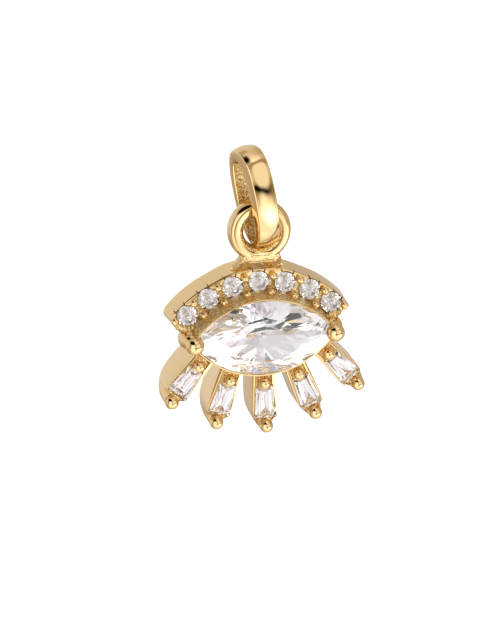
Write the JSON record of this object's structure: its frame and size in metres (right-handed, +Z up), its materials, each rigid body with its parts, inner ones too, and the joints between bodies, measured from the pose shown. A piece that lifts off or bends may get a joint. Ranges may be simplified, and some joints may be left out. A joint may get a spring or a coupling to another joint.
{
  "type": "evil eye pendant",
  "caption": "Gold evil eye pendant with a marquise stone, a brow of round stones and a fan of lashes set with tapered baguettes, hanging by its loop from an oval bail.",
  "frame": {"origin": "seat of the chain at the top of the bail's opening", "axes": "+Z up, the front of the pendant faces -Y, +X to the right seen from the front"},
  "size_m": [0.012, 0.0046, 0.0175],
  "materials": {
    "gold": "polished yellow gold plating, grained in the recesses",
    "clear_stone": "clear cut cubic zirconia"
  },
  "bodies": {
    "bail": {"bail": "gold"},
    "pendant": {"setting": "gold", "eye_stone": "clear_stone", "brow_stone_1": "clear_stone", "brow_stone_2": "clear_stone", "brow_stone_3": "clear_stone", "brow_stone_4": "clear_stone", "brow_stone_5": "clear_stone", "brow_stone_6": "clear_stone", "brow_stone_7": "clear_stone", "lash_stone_1": "clear_stone", "lash_stone_2": "clear_stone", "lash_stone_3": "clear_stone", "lash_stone_4": "clear_stone", "lash_stone_5": "clear_stone"}
  },
  "joints": [
    {"name": "pendant_swing", "type": "hinge", "parent": "bail", "child": "pendant", "pos_m": [0.00061, 0, -0.00432], "axis": [0, 1, 0], "range_deg": [-90, 90]}
  ]
}
